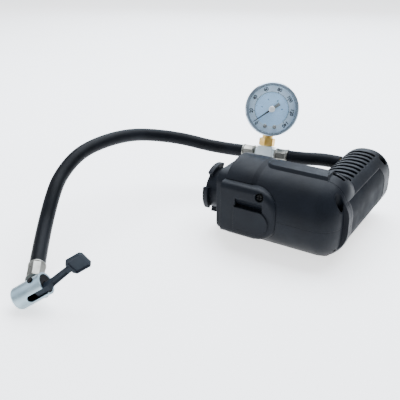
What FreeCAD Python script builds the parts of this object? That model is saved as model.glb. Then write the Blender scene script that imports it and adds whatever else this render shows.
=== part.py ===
import FreeCAD, Part
import math
import os
import re
import Sketcher
from FreeCAD import Placement, Rotation, Vector

# Portable tire inflator: a compressor head with a bayonet foot for a battery handle,
# a stiff air hose with a gauge on a tee, and a lever chuck. Millimetres, Z up.
# Local X runs along the motor barrel towards the elbow and local Y along the slotted barrel.

# Driving dimensions
SIZES = [
    ("axisHeight", 35.5),
    ("barrelRadius", 34.0),
    ("wall", 2.5),
    ("barrelEnd", 19.0),
    ("capRadius", 19.7),
    ("collarRadius", 35.5),
    ("collarFace", 79.0),
    ("collarBack", 56.0),
    ("shroudHalf", 22.9),
    ("shroudRise", 26.7),
    ("shroudCorner", 21.5),
    ("shroudRound", 9.5),
    ("shroudFront", 14.0),
    ("shroudEnd", 101.0),
    ("slotCount", 11),
    ("slotPitch", 7.84),
    ("slotWidth", 4.2),
    ("slotReach", 8.7),
    ("facetHalf", 22.5),
    ("facetFace", 35.0),
    ("facetRound", 5.0),
    ("padFace", 36.0),
    ("plateHalf", 27.0),
    ("plateCorner", 10.0),
    ("plateFace", 87.0),
    ("neckRadius", 17.5),
    ("lugRadius", 22.0),
    ("lugThick", 4.5),
    ("flangeFace", 104.0),
    ("motorRadius", 18.0),
    ("motorFront", 15.0),
    ("motorBack", 65.0),
    ("motorShaft", 1.6),
    ("gearDistance", 16.0),
    ("pinionRadius", 3.2),
    ("gearModule", 0.8),
    ("crankThrow", 6.5),
    ("rodLength", 42.0),
    ("boreRadius", 11.0),
    ("cylinderStart", 44.0),
    ("cylinderEnd", 70.5),
    ("finRadius", 18.5),
    ("headEnd", 80.0),
    ("hoseRadius", 6.0),
    ("hoseBore", 3.0),
    ("gaugeRadius", 24.0),
    ("gaugeRise", 42.2),
    ("ferruleLength", 13.5),
    ("chuckRadius", 8.5),
    ("chuckLength", 26.0),
    ("chuckPin", 18.8),
    ("stemBore", 4.1),
    ("screwRecess", 3.6),
    ("screwHead", 3.2),
    ("screwShank", 1.5),
    ("headWidth", 14.0),
    ("headTop", 19.4),
    ("hoseExitY", 76.0),
    ("hoseExitZ", 50.3),
    ("pinRadius", 1.5),
]

# The part's origin lies under the middle of the head, so the local frame is moved by this much
SHIFT = Vector(40.55, -32.5, 0)

doc = FreeCAD.newDocument("TireInflator")
dims = doc.addObject("Spreadsheet::Sheet", "Dims")
for row, (alias, size) in enumerate(SIZES, start=1):
    cell = "B%d" % row
    dims.set("A%d" % row, alias)
    dims.set(cell, str(size))
    dims.setAlias(cell, alias)
doc.recompute()

NAMES = {alias for alias, size in SIZES}
PIECES = []


def bound(text):
    """The same expression with each size read from the sheet."""
    return re.sub(r"[A-Za-z]+", lambda m: "Dims." + m.group(0) if m.group(0) in NAMES else m.group(0),
                  str(text))


def value(text):
    return float(dims.evalExpression(bound(text)))


def bind(obj, prop, text):
    obj.setExpression(prop, bound(text))


# Pieces are built on their own origin planes and placed afterwards

def new_body(name):
    return doc.addObject("PartDesign::Body", name)


def new_sketch(body, name, plane, height="0"):
    sketch = body.newObject("Sketcher::SketchObject", name)
    base = [f for f in body.Origin.OriginFeatures if f.Role == plane + "_Plane"][0]
    sketch.AttachmentSupport = (base, [""])
    sketch.MapMode = "FlatFace"
    if height != "0":
        bind(sketch, "AttachmentOffset.Base.z", height)
    return sketch


def pin_point(sketch, geo, pos, x, y):
    for kind, text in (("DistanceX", x), ("DistanceY", y)):
        index = sketch.addConstraint(Sketcher.Constraint(kind, -1, 1, geo, pos, value(text)))
        sketch.setExpression("Constraints[%d]" % index, bound(text))


def draw_outline(sketch, points):
    """Closed outline. A point with a third and fourth entry starts an arc of that radius,
    whose middle lies to the left (1) or the right (-1) of the chord."""
    first = sketch.GeometryCount
    count = len(points)
    spots = [Vector(value(p[0]), value(p[1]), 0) for p in points]
    for i, point in enumerate(points):
        start, end = spots[i], spots[(i + 1) % count]
        if len(point) == 2:
            sketch.addGeometry(Part.LineSegment(start, end))
            continue
        radius, side = value(point[2]), point[3]
        chord = end - start
        half = chord.Length / 2
        normal = Vector(-chord.y, chord.x, 0).normalize() * side
        middle = (start + end) / 2 + normal * math.sqrt(max(radius * radius - half * half, 0))
        out = (start + end) / 2 - middle
        if out.Length < 1e-6:
            out = normal * -1
        crown = middle + out.normalize() * radius
        turned = (start, crown, end) if side == 1 else (end, crown, start)
        sketch.addGeometry(Part.Arc(*turned))
    ends = []
    for i in range(count):
        forward = len(points[i]) == 2 or (sketch.Geometry[first + i].StartPoint - spots[i]).Length < 1e-4
        ends.append((1, 2) if forward else (2, 1))
    for i in range(count):
        after = (i + 1) % count
        sketch.addConstraint(Sketcher.Constraint("Coincident", first + i, ends[i][1], first + after, ends[after][0]))
    for i in range(count):
        pin_point(sketch, first + i, ends[i][0], points[i][0], points[i][1])
    for i, point in enumerate(points):
        if len(point) == 2:
            continue
        chord = spots[(i + 1) % count] - spots[i]
        if abs(chord.Length / 2 - value(point[2])) > 1e-4:
            index = sketch.addConstraint(Sketcher.Constraint("Radius", first + i, value(point[2])))
            sketch.setExpression("Constraints[%d]" % index, bound(point[2]))
            continue
        # A half circle is held by its middle, half way between its ends
        k = 0 if abs(chord.y) > abs(chord.x) else 1
        text = f"(({point[k]}) + ({points[(i + 1) % count][k]})) / 2"
        index = sketch.addConstraint(Sketcher.Constraint(("DistanceX", "DistanceY")[k], -1, 1, first + i, 3, value(text)))
        sketch.setExpression("Constraints[%d]" % index, bound(text))


def draw_circle(sketch, x, y, radius):
    geo = sketch.addGeometry(Part.Circle(Vector(value(x), value(y), 0), Vector(0, 0, 1), value(radius)))
    pin_point(sketch, geo, 3, x, y)
    index = sketch.addConstraint(Sketcher.Constraint("Radius", geo, value(radius)))
    sketch.setExpression("Constraints[%d]" % index, bound(radius))


def pad(body, name, plane, length, points=None, circles=(), height="0", back=False, both=False):
    sketch = new_sketch(body, name + "Sketch", plane, height)
    if points:
        draw_outline(sketch, points)
    for circle in circles:
        draw_circle(sketch, *circle)
    feature = body.newObject("PartDesign::Pad", name)
    feature.Profile = sketch
    bind(feature, "Length", length)
    feature.Midplane = both
    feature.Reversed = back
    return feature


def pocket(body, name, plane, length=None, points=None, circles=(), height="0", back=False, both=False):
    sketch = new_sketch(body, name + "Sketch", plane, height)
    if points:
        draw_outline(sketch, points)
    for circle in circles:
        draw_circle(sketch, *circle)
    feature = body.newObject("PartDesign::Pocket", name)
    feature.Profile = sketch
    if length is None:
        feature.Type = "ThroughAll"
        feature.Midplane = True
    else:
        bind(feature, "Length", length)
        feature.Midplane = both
        feature.Reversed = back
    return feature


def turn(body, name, points, axis="Z", cut=False):
    """A turned form: points are (along, radius) for X and (radius, along) for Z."""
    sketch = new_sketch(body, name + "Sketch", "XZ")
    draw_outline(sketch, points)
    feature = body.newObject("PartDesign::Groove" if cut else "PartDesign::Revolution", name)
    feature.Profile = sketch
    feature.ReferenceAxis = (sketch, ["H_Axis" if axis == "X" else "V_Axis"])
    feature.Angle = 360
    return feature


def polar(body, name, feature, count, axis="Z"):
    pattern = body.newObject("PartDesign::PolarPattern", name)
    pattern.Originals = [feature]
    line = [f for f in body.Origin.OriginFeatures if f.Role == axis + "_Axis"][0]
    pattern.Axis = (line, [""])
    pattern.Angle = 360
    pattern.Occurrences = count
    body.Tip = pattern
    return pattern


def pick_edges(shape, test):
    return ["Edge%d" % (i + 1) for i, edge in enumerate(shape.Edges) if test(edge)]


def round_edges(body, name, radius, test, flat=False):
    doc.recompute()
    base = body.Tip
    feature = body.newObject("PartDesign::Chamfer" if flat else "PartDesign::Fillet", name)
    feature.Base = (base, pick_edges(base.Shape, test))
    bind(feature, "Size" if flat else "Radius", radius)
    return feature


def boolean(kind, name, *parts):
    result = doc.addObject("Part::" + kind, name)
    if kind in ("MultiFuse", "MultiCommon"):
        result.Shapes = list(parts)
    else:
        result.Base, result.Tool = parts
    return result


def block(name, x, y, z, length, width, height):
    box = doc.addObject("Part::Box", name)
    bind(box, "Length", length)
    bind(box, "Width", width)
    bind(box, "Height", height)
    bind(box, "Placement.Base.x", x)
    bind(box, "Placement.Base.y", y)
    bind(box, "Placement.Base.z", z)
    return box


def drum(name, x, y, z, radius, length, axis="Z"):
    cylinder = doc.addObject("Part::Cylinder", name)
    bind(cylinder, "Radius", radius)
    bind(cylinder, "Height", length)
    turned = {"X": Rotation(Vector(0, 1, 0), 90), "Y": Rotation(Vector(1, 0, 0), -90), "Z": Rotation()}
    cylinder.Placement = Placement(Vector(), turned[axis])
    bind(cylinder, "Placement.Base.x", x)
    bind(cylinder, "Placement.Base.y", y)
    bind(cylinder, "Placement.Base.z", z)
    return cylinder


def finish(node, obj, place=Placement()):
    """Name the sub-part and move it from the local frame to the part's frame."""
    obj.Label = node
    for path, text in obj.ExpressionEngine:
        if "Placement" in path:
            obj.setExpression(path, None)
    obj.Placement = Placement(SHIFT, Rotation()).multiply(place).multiply(obj.Placement)
    PIECES.append((node, obj))


def at(x="0", y="0", z="0", rotation=Rotation()):
    return Placement(Vector(value(x), value(y), value(z)), rotation)


ALONG_X = Rotation(Vector(0, 1, 0), 90)
ALONG_Y = Rotation(Vector(1, 0, 0), -90)


def rounded(x0, x1, z0, z1, radius):
    """Rounded rectangle between two corners, anticlockwise."""
    r = f"({radius})"
    return [(f"{x0} + {r}", z0), (f"{x1} - {r}", z0, r, 1), (x1, f"{z0} + {r}"),
            (x1, f"{z1} - {r}", r, 1), (f"{x1} - {r}", z1), (f"{x0} + {r}", z1, r, 1),
            (x0, f"{z1} - {r}"), (x0, f"{z0} + {r}", r, 1)]


# Head: the outer form of the two barrels and the hollow inside it

def barrel_form(name, inset):
    """Motor barrel turned about X, with its collar, and its rounded end at the elbow."""
    body = new_body(name)
    r, c = f"barrelRadius - {inset}", f"collarRadius - {inset}"
    face, end = f"-collarFace + {inset}", f"barrelEnd - {inset}"
    turn(body, name + "Turn", [
        (face, "0"), (face, c), ("-collarBack", c), ("-collarBack + 4", r), (end, r), (end, "0")], "X")
    doc.recompute()
    far = value(end)
    round_edges(body, name + "Round", f"capRadius - {inset}", lambda e: e.BoundBox.XMin > far - 0.01)
    body.Placement = at(z="axisHeight")
    return body


def shroud_form(name, inset, front):
    """Slotted barrel: a rounded rectangle carried along Y, its far edge rounded over."""
    body = new_body(name)
    half, rise = f"(shroudHalf - {inset})", f"(shroudRise - {inset})"
    pad(body, name + "Pad", "XZ", f"shroudEnd - {inset} + {front}",
        rounded(f"-{half}", half, f"axisHeight - {rise}", f"axisHeight + {rise}", f"shroudCorner - {inset}"),
        height=front, back=True)
    doc.recompute()
    far = value("shroudEnd") - value(inset)
    round_edges(body, name + "Round", f"shroudRound - {inset}",
                lambda e: e.BoundBox.YMin > far - 0.01)
    return body


outer_barrel = barrel_form("OuterBarrel", "0")
outer_shroud = shroud_form("OuterShroud", "0", "shroudFront")
inner_barrel = barrel_form("InnerBarrel", "wall")
inner_shroud = shroud_form("InnerShroud", "wall", "(shroudFront - 3)")

# Raised spine on top of the motor barrel, flat on top with a round left end
spine = new_body("Spine")
pad(spine, "SpinePad", "XY", "axisHeight + 35.2", [
    ("-45", "-9"), ("2", "-9"), ("2", "9"), ("-45", "9", "9", 1)], height="axisHeight + 20")
spine.Group[1].setExpression("Length", bound("35.2 - 20"))
doc.recompute()
round_edges(spine, "SpineEdge", "2.2", lambda e: e.BoundBox.ZMin > value("axisHeight") + 35.1, flat=True)

envelope = boolean("MultiFuse", "Envelope", outer_barrel, outer_shroud, spine)
hollow = boolean("MultiFuse", "Hollow", inner_barrel, inner_shroud)

# The seam: everything right of this outline belongs to the slotted cover

def region(name, gap):
    body = new_body(name)
    pad(body, name + "Pad", "XY", "90", [
        (f"-shroudHalf - 0.3 - {gap}", f"24 - {gap}"), (f"-9 - {gap}", f"24 - {gap}"),
        (f"1.5 - {gap}", f"-9 - {gap}"), ("60", f"-9 - {gap}"),
        ("60", "140"), (f"-shroudHalf - 0.3 - {gap}", "140")], height="-5")
    return body


seam = region("SeamRegion", "0")
seam_gap = region("SeamGap", "0.2")

# Screw posts stand inside both barrels, each with a recess for the screw's head from above
POSTS = [("14", "-16"), ("15.75", "87.5")]
post_parts = [drum(f"Post{i}", x, y, "-2", "screwRecess + 1.3", "axisHeight + 44") for i, (x, y) in enumerate(POSTS)]
recess_parts = [drum(f"Recess{i}", x, y, "axisHeight + 8", "screwRecess", "40") for i, (x, y) in enumerate(POSTS)]
shank_parts = [drum(f"ShankHole{i}", x, y, "axisHeight - 22", "screwShank", "40") for i, (x, y) in enumerate(POSTS)]

# Two ribs hold the motor; they are bored to the can
rib_parts = [boolean("Cut", f"Rib{i}", drum(f"RibDisc{i}", x, "0", "axisHeight", "barrelRadius + 5", "3", "X"),
                     drum(f"RibBore{i}", x + " - 1", "0", "axisHeight", "motorRadius", "5", "X"))
             for i, x in enumerate(["-58", "-24"])]

# A thickened patch inside the wall leaves material behind the finger scoop
backing = block("ScoopBacking", "-69", "-40", "axisHeight + 0.5", "31", "12", "17")

kept = boolean("MultiFuse", "Kept", *post_parts, *rib_parts, backing)
cavity = boolean("Cut", "Cavity", hollow, kept)
solid_skin = boolean("Cut", "SolidSkin", envelope, cavity)

# The facet: a flat with a round right end, let into the barrel and the collar
FACET_MIDDLE = "-49.5"
FACET_HEIGHT = "(axisHeight + 0.5)"


def facet_outline(gap):
    r = f"(facetHalf + {gap})"
    low, high = f"{FACET_HEIGHT} - {r}", f"{FACET_HEIGHT} + {r}"
    return [("-collarFace - 1", low), (FACET_MIDDLE, low, r, 1), (FACET_MIDDLE, high), ("-collarFace - 1", high)]


facet_gap = new_body("FacetGap")
pad(facet_gap, "FacetGapPad", "XZ", "20", facet_outline("0.15"), height="20")
facet_cut = boolean("Cut", "FacetCut", facet_gap,
                    drum("FacetCore", "-90", "0", "axisHeight", "barrelRadius", "80", "X"))

# The scoop: a wedge of air above the finger pad
scoop = new_body("Scoop")
pad(scoop, "ScoopPad", "YZ", "24.3", [
    ("-40", "50"), ("-padFace", "50"), ("-31", "40.2"), ("-40", "40.2")], height="-65.3")

# The third case screw stands square to the facet
side_recess = drum("SideRecess", "-44", "-40", "axisHeight + 17.1", "screwRecess", "8.2", "Y")
side_hole = drum("SideHole", "-44", "-40", "axisHeight + 17.1", "screwShank", "20", "Y")

# Way in for the battery's contacts through the end wall
end_hole = drum("EndHole", "-85", "0", "axisHeight", "14", "12", "X")

# Passage for the hose out of the slotted cover
hose_hole = drum("HoseHole", "-30", "hoseExitY", "hoseExitZ", "hoseRadius + 1.5", "22", "X")

# Seats for the two rubber feet
FEET = [("0", "0"), ("0", "84")]

# Cooling slots across the top of the slotted cover; the first three stop at the seam
slot_bars = []
for i in range(int(value("slotCount"))):
    left = ["2.2", "-0.7", "-3.5"][i] if i < 3 else "-30"
    y = f"(3.8 + slotPitch * {i})"
    bar = new_body(f"Slot{i}")
    base = "axisHeight + 12" if i >= 3 else "axisHeight + 20"
    r = "slotWidth / 2"
    if i < 3:
        outline = [(left, f"{y} - {r}"), ("slotReach", f"{y} - {r}", r, 1), ("slotReach", f"{y} + {r}"),
                   (left, f"{y} + {r}", r, 1)]
    else:
        outline = [(left, f"{y} - {r}"), ("slotReach", f"{y} - {r}", r, 1), ("slotReach", f"{y} + {r}"),
                   (left, f"{y} + {r}")]
    pad(bar, f"Slot{i}Pad", "XY", "40", outline, height=base)
    slot_bars.append(bar)

# Shallow recess for the label, following the right wall

def label_region(name, gap):
    body = new_body(name)
    pad(body, name + "Pad", "YZ", "20", [
        (f"-5 + {gap}", f"18 + {gap}"), (f"72 - {gap}", f"18 + {gap}", "32.5", 1),
        (f"72 - {gap}", f"54 - {gap}"), (f"-5 + {gap}", f"54 - {gap}")], height="10")
    return body


label_floor = shroud_form("LabelFloor", "0.8", "shroudFront")
label_face = shroud_form("LabelFace", "0.2", "shroudFront")
label_recess = boolean("Cut", "LabelRecess", label_region("LabelOpening", "0"), label_floor)

upper_box = block("UpperHalf", "-120", "-80", "axisHeight", "220", "240", "60")
lower_box = block("LowerHalf", "-120", "-80", "axisHeight - 60", "220", "240", "60")

housing_cuts = boolean("MultiFuse", "HousingCuts", seam_gap, facet_cut, scoop, side_recess, side_hole,
                       end_hole, recess_parts[0], shank_parts[0])
housing = boolean("Cut", "Housing", solid_skin, housing_cuts)
housing_upper = boolean("MultiCommon", "HousingUpper", housing, upper_box)
housing_lower = boolean("MultiCommon", "HousingLower", housing, lower_box)

shroud_whole = boolean("MultiCommon", "ShroudWhole", solid_skin, seam)
shroud_cuts = boolean("MultiFuse", "ShroudCuts", hose_hole, label_recess, recess_parts[1], shank_parts[1], *slot_bars)
shroud = boolean("Cut", "Shroud", shroud_whole, shroud_cuts)
shroud_upper = boolean("MultiCommon", "ShroudUpper", shroud, upper_box)
shroud_lower = boolean("MultiCommon", "ShroudLower", shroud, lower_box)
doc.recompute()

# Side cover: the flat facet, its raised finger pad and the scoop above the pad
cover_plate = new_body("CoverPlate")
pad(cover_plate, "CoverPlatePad", "XZ", "facetFace - 20", [
    ("-collarFace", f"{FACET_HEIGHT} - facetHalf"), (FACET_MIDDLE, f"{FACET_HEIGHT} - facetHalf", "facetHalf", 1),
    (FACET_MIDDLE, f"{FACET_HEIGHT} + facetHalf"), ("-collarFace", f"{FACET_HEIGHT} + facetHalf")], height="20")
doc.recompute()
round_edges(cover_plate, "CoverEdge", "facetRound",
            lambda e: e.BoundBox.YMax < 0.01 - value("facetFace") and e.BoundBox.XMax > 0.1 - value("collarFace"))
finger_pad = new_body("FingerPad")
pad(finger_pad, "FingerPadPad", "XZ", "padFace - 34", [
    ("-66.3", "19.2"), ("-46", "19.2", "10.8", 1), ("-46", "40.8"), ("-66.3", "40.8")], height="34")
cover_bore = drum("CoverBore", "-90", "0", "axisHeight", "barrelRadius + 0.1", "80", "X")
cover_whole = boolean("MultiFuse", "CoverWhole", cover_plate, finger_pad)
cover_seat = drum("CoverSeat", "-44", "-40", "axisHeight + 17.1", "screwRecess", "8.2", "Y")
cover_hole = drum("CoverHole", "-44", "-40", "axisHeight + 17.1", "screwShank", "20", "Y")
cover_scoop = new_body("CoverScoop")
pad(cover_scoop, "CoverScoopPad", "YZ", "24.3", [
    ("-40", "50"), ("-padFace", "50"), ("-31", "40.2"), ("-40", "40.2")], height="-65.3")
cover_cuts = boolean("MultiFuse", "CoverCuts", cover_bore, cover_seat, cover_hole, cover_scoop)
side_cover = boolean("Cut", "SideCover", cover_whole, cover_cuts)


# Bayonet foot: a square plate, a round neck and four lugs that lock into a battery handle
coupling = new_body("BayonetFoot")
pad(coupling, "FootPlate", "YZ", "plateFace - collarFace",
    rounded("-plateHalf", "plateHalf", "-plateHalf", "plateHalf", "plateCorner"), height="-plateFace")
pad(coupling, "FootNeck", "YZ", "flangeFace - plateFace + 0.5", circles=[("0", "0", "neckRadius")],
    height="-flangeFace")
for i, middle in enumerate([8, 98, 188, 278]):
    # Each lug spans 56 degrees; angles run from straight up towards the facet
    a0, a1 = math.radians(90 + middle - 28), math.radians(90 + middle + 28)
    inner, outer = "(neckRadius - 1)", "lugRadius"
    corners = [(f"{inner} * {math.cos(a0):.5f}", f"{inner} * {math.sin(a0):.5f}"),
               (f"{outer} * {math.cos(a0):.5f}", f"{outer} * {math.sin(a0):.5f}", "lugRadius", 1),
               (f"{outer} * {math.cos(a1):.5f}", f"{outer} * {math.sin(a1):.5f}"),
               (f"{inner} * {math.cos(a1):.5f}", f"{inner} * {math.sin(a1):.5f}")]
    pad(coupling, f"Lug{i}", "YZ", "lugThick", corners, height="-flangeFace")
pocket(coupling, "FootBore", "YZ", "30", circles=[("0", "0", "14")], height="-flangeFace - 1", back=True)

contact_block = new_body("ContactBlock")
pad(contact_block, "ContactBlockPad", "YZ", "17", rounded("-9", "9", "-6", "6", "1.5"), height="-96")
pad(contact_block, "ContactFlange", "YZ", "2.5", circles=[("0", "0", "13.9")], height="-80")
pocket(contact_block, "BladeSlots", "YZ", "26", [
    ("-5.5", "-3"), ("-4.5", "-3"), ("-4.5", "3"), ("-5.5", "3")], height="-99", back=True)
pocket(contact_block, "BladeSlotsB", "YZ", "26", [
    ("4.5", "-3"), ("5.5", "-3"), ("5.5", "3"), ("4.5", "3")], height="-99", back=True)

blade_parts = [block(f"Blade{i}", "-100", y, "-3", "22.6", "1", "6") for i, y in enumerate(["-5.5", "4.5"])]
blades = boolean("MultiFuse", "ContactBlades", *blade_parts)

# Label plate in its recess, left bare
label_skin = boolean("Cut", "LabelSkin", label_face, label_floor)
label_plate = boolean("MultiCommon", "LabelPlate", label_skin, label_region("LabelOutline", "0.3"))

# Case screws: two stand upright in the posts, one is square to the facet


def screw(name, length):
    body = new_body(name)
    turn(body, name + "Turn", [
        ("0", f"-{length}"), ("screwShank", f"-{length}"), ("screwShank", "0"), ("screwHead - 0.2", "0"),
        ("screwHead - 0.2", "1.6"), ("screwHead - 1", "2.4"), ("0", "2.4")])
    pocket(body, name + "SlotA", "XY", "1.2", [
        ("-2.2", "-0.4"), ("2.2", "-0.4"), ("2.2", "0.4"), ("-2.2", "0.4")], height="2.5")
    pocket(body, name + "SlotB", "XY", "1.2", [
        ("-0.4", "-2.2"), ("0.4", "-2.2"), ("0.4", "2.2"), ("-0.4", "2.2")], height="2.5")
    return body


case_screws = []
for i, (x, y) in enumerate(POSTS):
    body = screw(f"PostScrew{i}", "28")
    body.Placement = at(x, y, "axisHeight + 8")
    case_screws.append(body)
facet_screw = screw("FacetScrew", "7")
facet_screw.Placement = at("-44", "-31.8", "axisHeight + 17.1", Rotation(Vector(1, 0, 0), 90))
case_screws.append(facet_screw)
screws = boolean("MultiFuse", "CaseScrews", *case_screws)

# Two rubber feet hold the head level
foot_parts = []
for i, ((x, y), top) in enumerate(zip(FEET, ("2.6", "9.8"))):
    foot_parts.append(drum(f"FootPad{i}", x, y, "0", "6", top))
feet = boolean("Cut", "Feet", boolean("MultiFuse", "FootPair", *foot_parts), envelope)

# Motor: can, rear cap, magnets, wound rotor, fan and pinion, all about the X axis
motor_can = new_body("MotorCan")
turn(motor_can, "MotorCanTurn", [
    ("-motorBack", "motorRadius - 1.2"), ("-motorBack", "motorRadius"), ("-motorFront", "motorRadius"),
    ("-motorFront", "3.1"), ("-motorFront - 1.5", "3.1"), ("-motorFront - 1.5", "motorRadius - 1.2")], "X")

motor_cap = new_body("MotorCap")
turn(motor_cap, "MotorCapTurn", [
    ("-motorBack - 4", "3.1"), ("-motorBack - 4", "motorRadius"), ("-motorBack", "motorRadius"),
    ("-motorBack", "15"), ("-motorBack - 2", "15"), ("-motorBack - 2", "3.1")], "X")

rotor_shaft = drum("RotorShaft", "-77", "0", "0", "motorShaft", "72.8", "X")

rotor_core = new_body("RotorCore")
turn(rotor_core, "RotorCoreTurn", [
    ("-57", "motorShaft"), ("-57", "12.4"), ("-26", "12.4"), ("-26", "motorShaft")], "X")
core_slot = pocket(rotor_core, "CoreSlot", "YZ", "33", [
    ("7.5", "-1"), ("14", "-1"), ("14", "1"), ("7.5", "1")], height="-58", back=True)
polar(rotor_core, "CoreSlots", core_slot, 7, "X")

windings = new_body("Windings")
turn(windings, "WindingRing", [
    ("-60", "3"), ("-60", "10.6"), ("-57", "10.6"), ("-57", "3")], "X")
wire_bar = pad(windings, "WireBar", "YZ", "34", [
    ("7.5", "-0.9"), ("11.6", "-0.9"), ("11.6", "0.9"), ("7.5", "0.9")], height="-59")
polar(windings, "WireBars", wire_bar, 7, "X")
front_ring = new_body("WindingFront")
turn(front_ring, "WindingFrontTurn", [("-26", "3"), ("-26", "11.6"), ("-23", "10.6"), ("-23", "3")], "X")
rotor_windings = boolean("MultiFuse", "RotorWindings", windings, front_ring)

magnet_ring = boolean("Cut", "MagnetRing", drum("MagnetOuter", "-58", "0", "0", "16.7", "34", "X"),
                      drum("MagnetInner", "-59", "0", "0", "13", "36", "X"))
magnets = boolean("Cut", "Magnets", magnet_ring, block("MagnetGap", "-60", "-20", "-4.5", "40", "40", "9"))

commutator = new_body("Commutator")
turn(commutator, "CommutatorTurn", [
    ("-66", "motorShaft"), ("-66", "5"), ("-61", "5"), ("-61", "motorShaft")], "X")
bar_groove = pocket(commutator, "BarGroove", "YZ", "8", [
    ("4.4", "-0.25"), ("6", "-0.25"), ("6", "0.25"), ("4.4", "0.25")], height="-67", back=True)
polar(commutator, "BarGrooves", bar_groove, 7, "X")

brushes = boolean("MultiFuse", "Brushes", block("BrushA", "-65.2", "5.2", "-1.5", "3.4", "8", "3"),
                  block("BrushB", "-65.2", "-13.2", "-1.5", "3.4", "8", "3"))

bushing_parts = []
for i, (x0, x1) in enumerate([("-motorBack - 4", "-motorBack - 1"), ("-motorFront - 2", "-motorFront + 1.5")]):
    bushing = new_body(f"Bushing{i}")
    turn(bushing, f"Bushing{i}Turn", [
        (x0, "motorShaft + 0.05"), (x0, "3.1"), (x1, "3.1"), (x1, "motorShaft + 0.05")], "X")
    bushing_parts.append(bushing)
bushings = boolean("MultiFuse", "Bushings", *bushing_parts)

fan = new_body("Fan")
turn(fan, "FanHub", [("-76", "motorShaft"), ("-76", "4"), ("-71.5", "4"), ("-71.5", "motorShaft")], "X")
blade = pad(fan, "FanBlade", "YZ", "4", [
    ("3.5", "-0.6"), ("13.5", "1.6"), ("13.5", "2.6"), ("3.5", "0.6")], height="-75.8")
polar(fan, "FanBlades", blade, 7, "X")


def gear(name, teeth, start, length, shaft):
    """Spur gear with trapezium teeth, shallow enough to leave backlash and root clearance."""
    body = new_body(name)
    pitch = f"(gearModule * {teeth} / 2)"
    turn(body, name + "Blank", [
        (start, shaft), (start, f"{pitch} - 0.7"), (f"{start} + {length}", f"{pitch} - 0.7"),
        (f"{start} + {length}", shaft)], "X")
    tooth = pad(body, name + "Tooth", "YZ", length, [
        (f"{pitch} - 0.9", "-0.62"), (f"{pitch}", "-0.5"), (f"{pitch} + 0.44", "-0.28"),
        (f"{pitch} + 0.44", "0.28"), (f"{pitch}", "0.5"), (f"{pitch} - 0.9", "0.62")], height=start)
    polar(body, name + "Teeth", tooth, teeth, "X")
    return body


pinion = gear("Pinion", 8, "-8.5", "4.2", "motorShaft")
crank_gear_blank = gear("CrankGearBlank", 32, "-8", "4", "2.5")

# Crank: the gear carries a thin counterweight disc
crank_web = new_body("CrankWeb")
turn(crank_web, "CrankWebTurn", [("-4", "2.5"), ("-4", "10.5"), ("-3.4", "10.5"), ("-3.4", "2.5")], "X")
crank_gear_blank.Placement = at(rotation=Rotation(Vector(1, 0, 0), 180.0 / 32))
crank_gear = boolean("MultiFuse", "CrankGear", crank_gear_blank, crank_web)
crank_shaft = drum("CrankShaft", "-14.9", "0", "0", "2.5", "11.5", "X")
gear_bearing = boolean("Cut", "GearBearing", drum("BearingOuter", "-15", "0", "0", "5", "5.6", "X"),
                       drum("BearingInner", "-16", "0", "0", "2.55", "8", "X"))

gear_bearing.Placement = at(y="gearDistance")
drive_bushings = boolean("MultiFuse", "DriveBushings", bushings, gear_bearing)

# Gear frame: a plate that carries motor and crank, and a flange that carries the cylinder
gear_frame = new_body("GearFrame")
pad(gear_frame, "FramePlate", "YZ", "5.6", rounded("-13", "cylinderStart", "-13", "13", "5"),
    circles=[("0", "0", "3.2"), ("gearDistance", "0", "5")], height="-15")
pad(gear_frame, "FrameFlange", "XZ", "4", [("-15", "-15"), ("15", "-15"), ("15", "15"), ("-15", "15")],
    circles=[("0", "0", "boreRadius")], height="4 - cylinderStart", back=True)

# Cylinder with cooling fins, turned about the piston's axis
cylinder_turn = new_body("CylinderTurn")
fins = [("boreRadius", "cylinderStart"), ("16", "cylinderStart"), ("16", "cylinderStart + 2.5"),
        ("boreRadius + 1.5", "cylinderStart + 2.5")]
for i in range(5):
    base = f"cylinderStart + 5.5 + {3.6 * i:.1f}"
    fins += [("boreRadius + 1.5", base), ("finRadius", base), ("finRadius", f"{base} + 1.2"),
             ("boreRadius + 1.5", f"{base} + 1.2")]
fins += [("boreRadius + 1.5", "cylinderEnd"), ("boreRadius", "cylinderEnd")]
turn(cylinder_turn, "CylinderTurnForm", fins)
cylinder_top = new_body("CylinderTop")
pad(cylinder_top, "CylinderTopPad", "XY", "3.5", rounded("-headWidth", "headWidth", "-headWidth", "headWidth", "3"),
    circles=[("0", "0", "boreRadius")], height="cylinderEnd - 3.5")
cylinder_whole = boolean("MultiFuse", "CylinderWhole", cylinder_turn, cylinder_top)
HEAD_SCREWS = [("-10.9", "-11"), ("10.9", "-11"), ("-10.9", "11"), ("10.9", "11")]
cylinder_holes = boolean("MultiFuse", "CylinderHoles", *[
    drum(f"CylinderHole{i}", x, y, "cylinderEnd - 4", "screwShank", "6") for i, (x, y) in enumerate(HEAD_SCREWS)])
cylinder = boolean("Cut", "Cylinder", cylinder_whole, cylinder_holes)

gasket = new_body("Gasket")
pad(gasket, "GasketPad", "XY", "0.5", rounded("-headWidth", "headWidth", "-headWidth", "headWidth", "3"),
    circles=[("0", "0", "boreRadius")] + [(x, y, "screwShank") for x, y in HEAD_SCREWS], height="cylinderEnd")

# Cylinder head with an upright valve chamber and a side outlet
head_block = new_body("HeadBlock")
pad(head_block, "HeadBlockPad", "XY", "headEnd - cylinderEnd - 0.5",
    rounded("-headWidth", "headWidth", "-headTop", "headWidth", "1.5"),
    circles=[(x, y, "screwShank") for x, y in HEAD_SCREWS], height="cylinderEnd + 0.5")
head_block.Placement = at(z="axisHeight", rotation=ALONG_Y)
head_cuts = boolean(
    "MultiFuse", "HeadCuts",
    drum("ValveChamber", "0", "hoseExitY", "44", "3.4", "20"),
    drum("ValvePort", "0", "hoseExitY", "38.5", "1.6", "8"),
    drum("InletPort", "0", "70", "40.3", "1.6", "6", "Y"),
    drum("OutletPort", "-20", "hoseExitY", "hoseExitZ", "1.8", "20", "X"))
cylinder_head = boolean("Cut", "CylinderHead", head_block, head_cuts)

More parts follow.
